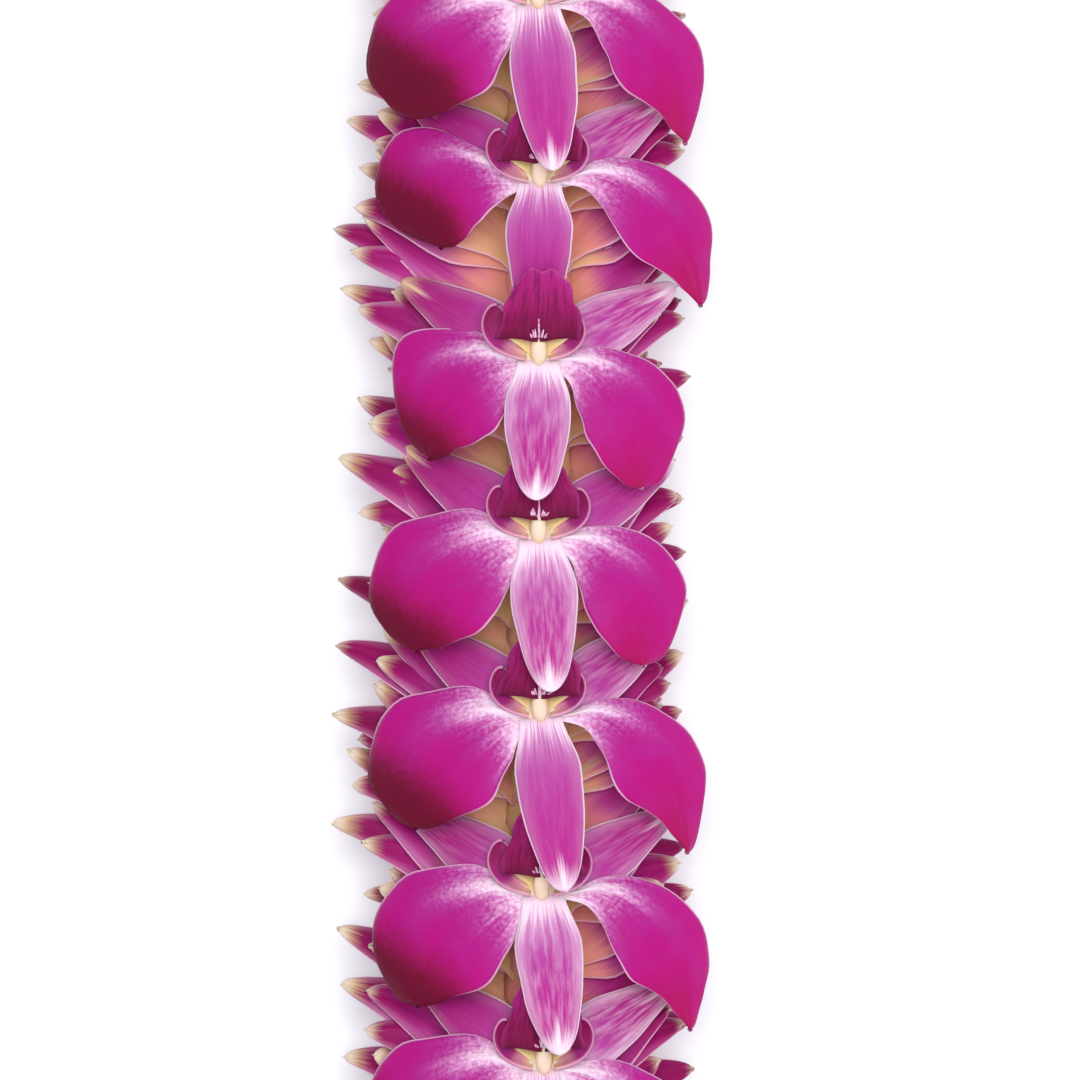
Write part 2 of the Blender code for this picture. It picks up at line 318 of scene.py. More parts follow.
def nested_outside():
    """The outside of the nested blossoms: tan and salmon at the base, magenta beyond, crisp margins."""
    f = Finish("nested_outside", 0.50, sheen=0.02, subsurface=0.10, glow="ffd0e0")
    streak = f.streaks(16, 1.5, 3.0)
    broad = f.streaks(5, 1.2, 1.0, offset=8)
    wander = f.maths("MULTIPLY_ADD", f.maths("SUBTRACT", streak, 0.5), 0.22, f.along)
    wander = f.maths("MULTIPLY_ADD", f.maths("SUBTRACT", broad, 0.5), 0.20, wander)
    wander = f.maths("SUBTRACT", wander, f.times(f.smooth(f.edge, 0.35, 0.95), 0.05))
    wander = f.maths("MULTIPLY_ADD", f.maths("SUBTRACT", 0.6, f.pale), 0.20, wander)
    colour = f.ramp(
        wander, (0.0, "e6c07c"), (0.15, "efbb8e"), (0.28, "eaa486"), (0.37, "da7c8e"),
        (0.47, "b94394"), (0.60, "ad2080"), (0.80, "a0126a"), (1.0, "920c58"),
    )
    foot = f.smooth(f.along, 0.46, 0.20)
    green = f.times(f.smooth(broad, 0.48, 0.70), foot, f.smooth(f.seed, 0.6, 0.4, 0.0, 0.7))
    colour = f.blend(green, colour, "d2c078")
    colour = f.blend(f.times(foot, f.smooth(f.seed, 0.45, 0.65, 0.0, 0.6)), colour, "e88a86")
    # Painted shade over the tepal's own crimson: its outer part darkens to wine, most on the nest's inner
    # side.
    dusk = f.times(f.smooth(f.along, 0.45, 0.8), f.dusk)
    colour = f.blend(f.times(dusk, 0.9), colour, "6e0a2c")
    pale = f.times(f.smooth(f.edge, 0.45, 1.0), f.smooth(f.along, 0.15, 0.6), f.pale)
    colour = f.blend(f.times(pale, 0.42), colour, "e2a8d0")
    worn = f.maths("MULTIPLY_ADD", f.maths("SUBTRACT", streak, 0.5), 0.14, f.along)
    worn = f.maths("MULTIPLY_ADD", f.maths("SUBTRACT", f.pale, 0.5), 0.10, worn)
    worn = f.maths("MULTIPLY_ADD", f.maths("SUBTRACT", f.seed, 0.6), 0.10, worn)
    worn = f.smooth(worn, 0.88, 1.0)
    worn = f.times(worn, 0.92)
    worn_colour = f.blend(f.smooth(f.along, 0.90, 0.98), "ccac80", "e8d8be")
    colour = f.blend(worn, colour, worn_colour)
    rim = f.smooth(f.edge, 0.92, 0.965)
    colour = f.blend(f.times(rim, 0.85), colour, "f6bcd4")
    height = f.maths("MULTIPLY_ADD", f.grain(2200), 0.3, f.streaks(40, 1.4, 2.0))
    return f.done(colour, height, 0.14 * MM, 0.40, f.smooth(f.grain(800), 0.3, 0.7, 0.44, 0.60))


def nested_inside():
    """The inside of the nested blossoms, with its tan tips."""
    f = Finish("nested_inside", 0.50, sheen=0.02, subsurface=0.10, glow="ffb8e8")
    wander = f.maths("MULTIPLY_ADD", f.maths("SUBTRACT", f.streaks(24, 1.8), 0.5), 0.3, f.along)
    colour = f.ramp(
        wander, (0.0, "ead2b8"), (0.2, "dc9cbc"), (0.42, "bf3c9a"), (0.8, "b51a84"), (1.0, "a01468")
    )
    # Painted shade over the tepal's own crimson: its outer part darkens to wine, as far as its tint says.
    colour = f.blend(f.times(f.smooth(f.along, 0.35, 0.75), f.dusk), colour, "7e0e3a")
    rim = f.times(f.smooth(f.edge, 0.94, 0.985), 0.75)
    colour = f.blend(rim, colour, "f3b8d8")
    colour = f.blend(f.times(f.smooth(f.along, 0.90, 0.97), 0.9), colour, "e0ceb0")
    return f.done(colour, f.streaks(60, 1.8, 2.0), 0.14 * MM, 0.4)


def lip_velvet():
    """The lip: velvety, dark towards its throat, with dark veins running out to the margin."""
    f = Finish("lip_velvet", 0.62, sheen=0.05, subsurface=0.05, glow="ff60c8")
    broad = f.streaks(6, 2.0, 2.0)
    wander = f.maths("MULTIPLY_ADD", f.maths("SUBTRACT", broad, 0.5), 0.3, f.along)
    colour = f.ramp(
        wander, (0.0, "6c0e36"), (0.25, "82124a"), (0.55, "981860"), (0.85, "a81e74"), (1.0, "b02c84")
    )
    veins = f.smooth(f.streaks(34, 2.2, 3.0, offset=3), 0.46, 0.62)
    colour = f.blend(f.times(veins, 0.6), colour, "5e0836")
    colour = f.blend(f.times(f.smooth(f.edge, 0.86, 0.99), 0.30), colour, "c04492")
    colour = f.blend(f.times(f.smooth(f.along, 0.96, 0.995), 0.3), colour, "c8609f")
    height = f.maths("MULTIPLY_ADD", f.grain(3200), 0.8, f.streaks(34, 1.2, 2.0, offset=3))
    return f.done(colour, height, 0.25 * MM, 0.6)


def lip_lobe():
    """The lip's side lobes: magenta inside a pale pink margin."""
    f = Finish("lip_lobe", 0.5, sheen=0.04, subsurface=0.1, glow="ffb0e0")
    wander = f.maths("MULTIPLY_ADD", f.maths("SUBTRACT", f.streaks(12, 2.0), 0.5), 0.3, f.along)
    colour = f.ramp(
        wander, (0.0, "dcae94"), (0.28, "c47a92"), (0.46, "9c2a74"), (0.85, "86124e"), (1.0, "921c62")
    )
    colour = f.blend(f.times(f.smooth(f.edge, 0.86, 0.98), 0.65), colour, "e2a0c0")
    return f.done(colour, f.grain(2600), 0.12 * MM, 0.4)


def cream_flesh():
    """Column, throat and the foot of the flower: waxy cream, tan and greenish in the deep parts."""
    f = Finish("cream_flesh", 0.40, subsurface=0.35)
    wander = f.maths("MULTIPLY_ADD", f.maths("SUBTRACT", f.grain(420, 3.0), 0.5), 0.35, f.along)
    wander = f.maths("SUBTRACT", wander, f.times(f.smooth(f.edge, 0.15, 0.85), f.pale, 0.30))
    colour = f.ramp(
        wander, (0.0, "e8c88c"), (0.30, "e6c490"), (0.55, "e2bc94"), (0.78, "ecd2ba"), (1.0, "f6e8dc")
    )
    return f.done(colour, f.grain(1500), 0.15 * MM, 0.3)


def callus_white():
    """The callus's teeth: white and pink."""
    f = Finish("callus_white", 0.45, subsurface=0.2)
    colour = f.ramp(f.grain(1800), (0.3, "d47cae"), (0.6, "ecc0d8"))
    return f.done(colour)


def cotton():
    f = Finish("string_cotton", 0.9, sheen=0.3)
    twist = f.node("ShaderNodeTexWave", Vector=f.node("ShaderNodeTexCoord").outputs["Object"])
    twist.inputs["Scale"].default_value = TWIST_SCALE
    twist.bands_direction = "DIAGONAL"
    colour = f.ramp(twist.outputs["Fac"], (0.0, "cfc6b4"), (1.0, "f2eee4"))
    return f.done(colour, twist.outputs["Fac"], 0.2 * MM, 0.8)


def surface_floor():
    """The pale surface under the lei, which glows a little."""
    made = bpy.data.materials.new("pale_floor")
    made.use_nodes = True
    shader = made.node_tree.nodes["Principled BSDF"]
    grain = made.node_tree.nodes.new("ShaderNodeTexNoise")
    grain.inputs["Scale"].default_value = FLOOR_GRAIN
    ramp = made.node_tree.nodes.new("ShaderNodeValToRGB")
    ramp.color_ramp.elements[0].color = (0.90, 0.90, 0.91, 1)
    ramp.color_ramp.elements[1].color = (0.93, 0.93, 0.94, 1)
    made.node_tree.links.new(grain.outputs["Fac"], ramp.inputs["Fac"])
    made.node_tree.links.new(ramp.outputs["Color"], shader.inputs["Base Color"])
    shader.inputs["Roughness"].default_value = 0.9
    shader.inputs["Specular IOR Level"].default_value = 0.1
    shader.inputs["Emission Color"].default_value = (0.95, 0.96, 1.0, 1)
    shader.inputs["Emission Strength"].default_value = FLOOR_GLOW
    return made


# ---------------------------------------------------------------- making petals

# A piece's material slots. A sheet's other side takes the slot after its own.
BACK, VELVET, SIDE_LOBE, FLESH = tepal_back(), lip_velvet(), lip_lobe(), cream_flesh()
SLOTS = (
    petal_front(), BACK, sepal_front(), BACK, VELVET, VELVET, SIDE_LOBE, SIDE_LOBE,
    nested_outside(), nested_inside(), FLESH, FLESH, callus_white(), cotton(),
)
PETAL, SEPAL, LIP, LOBE, NESTED, CREAM, CALLUS, COTTON = 0, 2, 4, 6, 8, 10, 12, 13
TEPAL_THICKNESS = 0.5 * MM
# Points nearer than this are one: those of a petal's tip, and those of a closed body.
SAME_TIP = 1e-5
SAME_SPOT = 1e-6
TUBE_BLUNTNESS = 24
UP = Vector((0, 0, 1))


def ease(value):
    """The value kept from 0 to 1, leaving both gently."""
    value = min(max(value, 0.0), 1.0)
    return value * value * (3 - 2 * value)


def between(value, low, high):
    """How far the value has come from low to high, eased."""
    return ease((value - low) / (high - low))


def bell(value, middle, width):
    """A smooth bump that is 1 at its middle."""
    return math.exp(-(((value - middle) / width) ** 2))


class Outline:
    """Half width of a sepal, a side lobe or a nested tepal along its length.

    It grows from a claw to a widest place, and tapers to a rounded end."""

    def __init__(self, width, claw, widest, taper, roundness):
        self.width = width
        self.claw = claw
        self.widest = widest
        self.taper = taper
        self.roundness = roundness

    def at(self, along):
        """The half width at a place from 0 at the base to 1 at the tip."""
        grown = self.claw + (1 - self.claw) * ease(along / self.widest)
        after = ease((along - self.widest) / (1 - self.widest))
        end = math.sqrt(max(0.0, 1 - along ** self.roundness))
        return self.width * grown * (1 - self.taper * after) * end


class Margins:
    """A broad petal's outline: both its margins from base to tip, in millimetres outward and forward."""

    STEPS = 64
    FINE_STEPS = 12

    def __init__(self, upper, lower):
        self.sides = [self.even(lower), self.even(upper)]

    def even(self, points):
        """A smooth curve through the points, cut into steps of one length."""
        points = [Vector(point) for point in points]
        points = [2 * points[0] - points[1]] + points + [2 * points[-1] - points[-2]]
        curve = []
        for a, b, c, d in zip(points, points[1:], points[2:], points[3:]):
            for step in range(self.FINE_STEPS):
                u = step / self.FINE_STEPS
                curve.append(
                    0.5 * (2 * b + (c - a) * u + (2 * a - 5 * b + 4 * c - d) * u * u
                           + (3 * b - a - 3 * c + d) * u * u * u)
                )
        curve.append(points[-2])
        gone = [0.0]
        for first, second in zip(curve, curve[1:]):
            gone.append(gone[-1] + (second - first).length)
        spots, index = [], 0
        for step in range(self.STEPS + 1):
            wanted = gone[-1] * step / self.STEPS
            while index < len(gone) - 2 and gone[index + 1] < wanted:
                index += 1
            share = (wanted - gone[index]) / max(gone[index + 1] - gone[index], 1e-9)
            spots.append(curve[index].lerp(curve[index + 1], min(share, 1)))
        return spots

    def at(self, along, across):
        """A point from the lower margin, at -1 across, to the upper one, at 1."""
        place = min(max(along, 0.0), 1.0) * self.STEPS
        index = min(int(place), self.STEPS - 1)
        low, high = (side[index].lerp(side[index + 1], place - index) for side in self.sides)
        return low.lerp(high, (across + 1) / 2)


def start_piece():
    """An empty bmesh with the layers that the materials read."""
    bm = bmesh.new()
    bm.loops.layers.uv.new("petal")
    bm.verts.layers.float_vector.new("tint")
    return bm


def faces_of(verts):
    return list({face for vert in verts if vert.is_valid for face in vert.link_faces})


def sheet(bm, columns, rows, slot, tint, facing, place, reach=1.0):
    """A petal: a grid, each of whose points goes where place(along, across) says.

    tint is (darkening, pale, seed), where the darkening, partly the petal's own crimson and partly painted
    shade, may be a function of the same two numbers. reach is how far along its colours the petal gets."""
    made = bmesh.ops.create_grid(bm, x_segments=columns, y_segments=rows, size=1)["verts"]
    uv = bm.loops.layers.uv["petal"]
    tints = bm.verts.layers.float_vector["tint"]
    for vert in made:
        vert.co.y = math.sin((vert.co.y + 1) * math.pi / 4)
    faces = faces_of(made)
    for face in faces:
        face.smooth = True
        face.material_index = slot
        for loop in face.loops:
            loop[uv].uv = ((loop.vert.co.x + 1) / 2, loop.vert.co.y * reach)
    for vert in made:
        across, along = vert.co.x, vert.co.y
        dusk = tint[0](along, across) if callable(tint[0]) else tint[0]
        vert[tints] = (dusk, tint[1], tint[2])
        vert.co = place(along, across)
    end = place(1, 0)
    tip = [vert for vert in made if (vert.co - end).length < SAME_TIP]
    if len(tip) > 1:
        bmesh.ops.pointmerge(bm, verts=tip, merge_co=end)
    faces = faces_of(made)
    looking = Vector()
    for face in faces:
        face.normal_update()
        looking += face.normal * face.calc_area()
    if looking.dot(facing) < 0:
        bmesh.ops.reverse_faces(bm, faces=faces)


def lump(bm, made, slot, tint, along, place):
    """Finishes the vertices of a closed body: their colour's place along the flower, then where they go."""
    uv = bm.loops.layers.uv["petal"]
    tints = bm.verts.layers.float_vector["tint"]
    for face in faces_of(made):
        face.smooth = True
        face.material_index = slot
        for loop in face.loops:
            loop[uv].uv = (0.5, along(loop.vert.co))
    for vert in made:
        vert[tints] = tint
        vert.co = place(vert.co)
    bmesh.ops.remove_doubles(bm, verts=made, dist=SAME_SPOT)
    bmesh.ops.recalc_face_normals(bm, faces=faces_of(made))


def ball(bm, sides, rings, slot, tint, along, frame, middle, radii, tilt=0.0):
    """An egg-shaped body, its middle and radii in millimetres, tipped forward by tilt."""
    made = bmesh.ops.create_uvsphere(bm, u_segments=sides, v_segments=rings, radius=1)["verts"]
    turn = Matrix.Rotation(tilt, 3, "X")

    def place(spot):
        sized = turn @ Vector([a * b for a, b in zip(spot, radii)])
        return frame @ ((Vector(middle) + sized) * MM)

    lump(bm, made, slot, tint, along, place)


def tube(bm, sides, rings, slot, tint, frame, path, radius, along=lambda part: part, ring=False):
    """A closed tube: path(part) and radius(part) in millimetres, with part from 0 to 1.

    Its ends are rounded, unless it is a ring, whose ends meet."""
    made = bmesh.ops.create_grid(bm, x_segments=sides, y_segments=rings, size=1)["verts"]

    def place(spot):
        part = (spot.y + 1) / 2
        ahead = (path(part + 1e-3) - path(part - 1e-3)).normalized()
        reference = Vector((0, 0, 1)) if abs(ahead.z) < 0.9 else Vector((1, 0, 0))
        side = ahead.cross(reference).normalized()
        turned = side * math.cos(math.pi * spot.x) + side.cross(ahead) * math.sin(math.pi * spot.x)
        size = radius(part) * (1 if ring else math.sqrt(max(0, 1 - abs(2 * part - 1) ** TUBE_BLUNTNESS)))
        return frame @ ((path(part) + turned * size) * MM)

    lump(bm, made, slot, tint, lambda spot: along((spot.y + 1) / 2), place)


def mesh_of(bm, name):
    """The bmesh as a mesh that has every material in its slot."""
    mesh = bpy.data.meshes.new(name)
    bm.to_mesh(mesh)
    bm.free()
    for material in SLOTS:
        mesh.materials.append(material)
    return mesh


def thickened(bm, thickness):
    """The sheets in bm with their thickness, as a new bmesh that more can be added to."""
    form = bpy.data.objects.new("sheets", mesh_of(bm, "sheets"))
    bpy.context.scene.collection.objects.link(form)
    shell = form.modifiers.new("thickness", "SOLIDIFY")
    shell.thickness = thickness
    shell.offset = -1
    shell.material_offset = 1
    shell.material_offset_rim = 0
    graph = bpy.context.evaluated_depsgraph_get()
    mesh = bpy.data.meshes.new_from_object(form.evaluated_get(graph))
    made = bmesh.new()
    made.from_mesh(mesh)
    old = form.data
    bpy.data.objects.remove(form)
    bpy.data.meshes.remove(old)
    bpy.data.meshes.remove(mesh)
    return made


def finish_piece(bm, name, node):
    """Makes the piece's object, attaches it to the root body and hides its part, with only the materials
    that it uses.
    """
    used = sorted({face.material_index for face in bm.faces})
    for face in bm.faces:
        face.material_index = used.index(face.material_index)
    mesh = bpy.data.meshes.new(name)
    bm.to_mesh(mesh)
    bm.free()
    for index in used:
        mesh.materials.append(SLOTS[index])
    piece = bpy.data.objects.new(name, mesh)
    bpy.context.scene.collection.objects.link(piece)
    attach(piece, "root")
    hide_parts(node)


# ---------------------------------------------------------------- the blossoms that face up

# Outlines of the broad petals, as (outward, forward) in millimetres from the flower's middle.
ROUND = Margins(
    ((1.0, -0.4), (7.4, 2.9), (12.1, 4.9), (17.9, 5.5), (23.0, 4.9), (26.1, 3.1), (27.4, 0.2),
     (27.7, -3.6), (26.4, -9.7), (24.2, -15.0), (20.3, -18.9)),
    ((1.2, -1.6), (4.3, -5.5), (5.8, -9.7), (9.0, -14.0), (14.0, -16.6), (17.5, -18.4), (20.3, -18.9)),
)
BROAD = Margins(
    ((1.0, -0.4), (7.0, 2.6), (12.2, 4.8), (17.5, 4.6), (22.7, 3.4), (26.6, 2.0), (29.4, -1.0),
     (31.0, -5.0), (32.0, -9.6), (31.2, -13.8), (28.8, -17.9), (26.6, -20.3), (23.1, -21.7)),
    ((1.2, -1.6), (3.9, -5.2), (5.2, -8.6), (7.0, -12.4), (8.9, -15.9), (11.6, -18.0), (15.3, -19.5),
     (18.6, -20.9), (23.1, -21.7)),
)
HIGH = Margins(
    ((1.0, -0.4), (6.7, 2.9), (11.2, 5.8), (16.1, 8.5), (19.5, 9.9), (22.6, 10.2), (25.6, 9.6),
     (28.1, 7.4), (30.0, 4.0), (31.0, 0.2), (31.0, -3.0), (29.3, -6.2), (26.4, -8.8), (22.9, -10.9),
     (18.4, -12.6)),
    ((1.4, -1.2), (6.9, -3.8), (9.4, -6.0), (11.9, -8.4), (13.9, -11.0), (15.9, -12.2), (18.4, -12.6)),
)
LEANING = Margins(
    ((1.0, -0.4), (3.9, 0.6), (7.8, 1.5), (11.7, 1.9), (15.6, 1.3), (21.2, -1.0), (24.3, -3.6),
     (26.4, -7.0), (27.3, -11.2), (26.5, -15.5), (25.0, -19.0), (22.6, -22.6), (19.1, -24.3)),
    ((1.4, -1.4), (5.5, -4.5), (7.0, -9.0), (8.7, -14.0), (10.9, -18.3), (13.9, -21.8), (16.5, -23.8),
     (19.1, -24.3)),
)
LONG = Margins(
    ((1.0, -0.4), (6.5, 0.7), (10.5, 2.4), (16.0, 2.7), (21.0, 1.4), (25.2, -1.4), (28.8, -5.0),
     (30.6, -9.0), (31.0, -13.5), (30.3, -18.0), (29.6, -21.8), (28.6, -25.2), (27.4, -26.1)),
    ((1.6, -1.0), (7.6, -2.4), (10.5, -5.4), (12.4, -9.3), (14.1, -13.2), (16.4, -16.2), (19.5, -18.2),
     (22.6, -20.4), (24.9, -23.4), (27.4, -26.1)),
)

# For the stretch of the lei that is best known: inner and outer petal, the dorsal sepal's direction, length
# and paleness, where the inner petal's end begins to darken (its own crimson and painted shade), how far
# the lip is raised and how far the outer petal is turned up.
KNOWN_BLOSSOMS = {
    28: (BROAD, LONG, -84, 30.0, 0.6, 17.0, 0.0, 0.0),
    29: (BROAD, LONG, -82, 33.0, 0.15, 16.5, 0.0, 0.0),
    1: (BROAD, LEANING, -86, 29.0, 0.6, 18.0, 0.0, 0.0),
    2: (ROUND, LEANING, -91, 26.6, 0.55, 14.5, 4.0, 0.0),
    3: (HIGH, LONG, -91, 26.5, 0.0, 6.5, 0.0, 0.10),
    4: (BROAD, LONG, -85, 32.0, 0.1, 13.0, 0.0, 0.0),
}
# Where the darkened end (own crimson and painted shade) of a petal that has none would begin.
NEVER = 60.0
# Where a sepal starts, in millimetres, and how late it droops, as a power.
SEPAL_START = 0.6
SEPAL_POWER = 2.4
# The blossom whose dorsal sepal bends down, how far, and how late.
BENT_BLOSSOM = 3
BENT_DROOP = 12.5
BENT_POWER = 1.6
DORSAL = Outline(6.3, 0.62, 0.33, 0.22, 5)
LATERAL = Outline(6.0, 0.50, 0.36, 0.42, 5)
LOBE_OUTLINE = Outline(2.5, 0.24, 0.78, 0.05, 7)
BLOSSOM_SEED = 700

# The face of a blossom: its height in millimetres, its lean, and its droop to both sides.
FACE_HEIGHT = 17
FACE_LEAN = 0.28
FACE_DROOP = 0.0115
RUFFLE = 0.6
LIP_START = 3.4
LIP_REACH = 13.0
LIP_HALF_WIDTH = 7.9
# The heart of a blossom: the radii of its rounded bodies, and its callus.
THROAT_RADII = (3.7, 2.7, 1.2)
COLUMN_RADII = (1.6, 3.1, 1.35)
CAP_RADII = (1.05, 1.0, 0.8)
COLUMN_TILT = 0.25
CALLUS_TEETH = 8
LONGEST_TOOTH = 4

# Columns and rows in each kind of sheet.
PETAL_GRID = (22, 42)
SEPAL_GRID = (14, 26)
LIP_GRID = (20, 18)
CLAW_GRID = (10, 8)
LOBE_GRID = (8, 16)


def face_height(x, y):
    """Height above the string: the blossom leans, its dorsal sepal high, and droops to both sides."""
    return FACE_HEIGHT - FACE_LEAN * y - FACE_DROOP * x * x


def spot_on(frame, x, y, z):
    """The point at x, y and z millimetres in a frame of the loop."""
    return frame @ (Vector((x, y, z)) * MM)


def add_petal(bm, frame, side, margins, turn, size, droop, dusky, pale, seed):
    """A broad petal, ridged at its base, drooping and ruffled towards its end."""
    wave = seed * WAVE_SPREAD

    def flat(along, across):
        x, y = margins.at(along, across) * size
        ruffle = RUFFLE * across ** 4 * ease(2 * along)
        x += ruffle * noise.noise(Vector((along * 7, across, wave)))
        y += ruffle * noise.noise(Vector((along * 7, across, wave + 9)))
        return x * math.cos(turn) - y * math.sin(turn), x * math.sin(turn) + y * math.cos(turn)

    def place(along, across):
        x, y = flat(along, across)
        z = face_height(x, y) - droop * along ** 2.2
        z -= 1.5 * across * across * ease(3 * along) * (1 - 0.35 * along)
        z += 0.95 * bell(across, 0.36, 0.22) * ease(along / 0.12) * (1 - between(along, 0.15, 0.62))
        z -= 0.45 * bell(across, -0.05, 0.13) * ease(along / 0.2) * (1 - 0.5 * along)
        z += 1.1 * along * noise.noise(Vector((x * 0.11, y * 0.11, wave)))
        z += 0.30 * abs(across) ** 3 * ease(2 * along) * math.sin(17 * along + wave)
        return spot_on(frame, side * x, y, z)

    # Painted shade over the petal's own crimson: the petal darkens past a given reach towards its lower
    # outer end.
    def dusk(along, across):
        x, y = flat(along, across)
        reach = 0.5 * x - 0.87 * y
        return between(reach, dusky - 2, dusky + 12) * between(x, 7, 19)

    sheet(bm, *PETAL_GRID, PETAL, (dusk, pale, seed), UP, place)


def add_sepal(bm, frame, direction, length, outline, lift, droop, bend, tint, power=SEPAL_POWER):
    """A narrow sepal that points in a direction in degrees, and droops towards its end."""
    angle = math.radians(direction)
    wave = tint[2] * WAVE_SPREAD

    def place(along, across):
        out = SEPAL_START + (length - SEPAL_START) * along
        side = across * outline.at(along) + bend * along * along
        side += 0.25 * noise.noise(Vector((along * 5, across, wave))) * ease(3 * along)
        x = out * math.cos(angle) - side * math.sin(angle)
        y = out * math.sin(angle) + side * math.cos(angle)
        z = face_height(x, y) + lift - droop * along ** power
        z -= 1.15 * across * across * ease(4 * along) * (1 - 0.4 * along)
        z -= 0.35 * bell(across, 0, 0.16) * (1 - along)
        z += 0.8 * along * noise.noise(Vector((along * 2.5, across * 0.8, wave + 5)))
        return spot_on(frame, x, y, z)

    sheet(bm, *SEPAL_GRID, SEPAL, tint, UP, place)


def add_lip(bm, frame, rng, raised):
    """The lip: a crinkled blade, its pale claw, and a curved lobe on each side."""
    seed = rng.random()
    wave = seed * WAVE_SPREAD
    lean = rng.uniform(-0.10, 0.10)

    def blade(along, across):
        width = LIP_HALF_WIDTH * (1 - 0.31 * along ** 1.4)
        y = LIP_START + LIP_REACH * along * (1 - 0.36 * abs(across) ** 2.6)
        y -= 0.7 * bell(across, 0, 0.35) * (1 - along) ** 3
        crinkle = 0.7 * math.sin(7 * across + 4 * along + wave) * ease(1.4 * along)
        scallop = 0.40 * math.sin(9 * across + wave) + 0.4 * math.sin(4 * across + 2 * wave)
        y += scallop * ease(1.5 * along)
        x = across * width + lean * (y - LIP_START) + 0.35 * abs(across) ** 3 * math.sin(8 * along + wave)
        z = face_height(x, y) + 3.0 + raised * ease(1.4 * along) + 0.9 * along * (1 - along)
        z += 1.2 * (1 - across * across) * (1 - 0.5 * along) + crinkle * abs(across)
        z -= 0.7 * bell(across, 0, 0.20) * (1 - along)
        return spot_on(frame, x, y, z)

    sheet(bm, *LIP_GRID, LIP, (0, 0, seed), UP, blade)

    def claw(along, across):
        x = across * (1.5 + 5.1 * ease(along))
        y = -0.4 + 6.4 * along - 0.9 * across * across * along
        z = face_height(x, y) + 0.8 + 1.3 * across * across * along + 0.3 * raised * along
        return spot_on(frame, x, y, z)

    sheet(bm, *CLAW_GRID, CREAM, (0, 1, seed), UP, claw)
    for side in (-1, 1):
        stretch = rng.uniform(0.95, 1.10) if side < 0 else rng.uniform(0.84, 0.98)

        def lobe(along, across, side=side, stretch=stretch):
            corners = (Vector((2.0, 0.2)), Vector((5.8, 1.0)), Vector((8.2, 4.0)), Vector((7.1, 8.6)))
            a, b, c, d = corners
            rest = 1 - along
            x, y = rest ** 3 * a + 3 * rest ** 2 * along * b + 3 * rest * along ** 2 * c + along ** 3 * d
            half = LOBE_OUTLINE.at(along) * across
            heading = math.radians(12 + 95 * along)
            x, y = x - half * math.sin(heading), y + half * math.cos(heading)
            z = face_height(x, y) + 0.9 + 0.3 * along - 0.5 * across + 0.5 * across * across
            return spot_on(frame, side * x * stretch, y * stretch, z + 0.4 * raised * along)

        sheet(bm, *LOBE_GRID, LOBE, (0, 0, rng.random()), UP, lobe)


def add_heart(bm, frame, rng, raised):
    """Column, anther cap, callus, and the foot that runs down to the string."""
    tint = (0, 0, rng.random())
    lean = rng.uniform(-0.25, 0.25)
    ball(bm, 16, 10, CREAM, tint, lambda spot: 0.85, frame, (0, -0.2, 16.8), THROAT_RADII)
    # The column is tan at its sides and cream-white on top: a painted highlight.
    ball(
        bm, 14, 12, CREAM, tint, lambda spot: 0.50 + 0.30 * spot.z, frame,
        (lean, 1.2, 18.3), COLUMN_RADII, COLUMN_TILT,
    )
    ball(
        bm, 12, 8, CREAM, tint, lambda spot: 0.86, frame, (1.6 * lean, 3.3, 18.9), CAP_RADII
    )
    half_row = (CALLUS_TEETH - 1) / 2
    for tooth in range(CALLUS_TEETH):
        across = (tooth - half_row) / half_row + rng.uniform(-0.12, 0.12)
        length = (2.5 - 1.7 * abs(across)) * rng.uniform(0.6, 1.2)
        length += 1.6 if tooth == LONGEST_TOOTH else 0
        start = Vector((1.25 * across + lean, 3.3 + 0.2 * abs(across), 19.3 + 0.16 * raised))
        ahead = Vector((0.6 * across + rng.uniform(-0.3, 0.3), length, 0.3))

        def path(part, start=start, ahead=ahead):
            return start + ahead * part + Vector((0, 0, 0.5 * math.sin(3 * part)))

        tube(bm, 6, 7, CALLUS, tint, frame, path, lambda part: 0.27 - 0.17 * part)

    def foot(part):
        return Vector((0, -0.4 - 1.2 * math.sin(math.pi * part), 16.6 - 18.9 * part))

    tube(
        bm, 14, 14, NESTED, (0, 0.6, rng.random()), frame, foot,
        lambda part: 2.5 - 0.6 * math.sin(math.pi * part) + 0.2 * part, lambda part: 0.38 - 0.3 * part,
    )


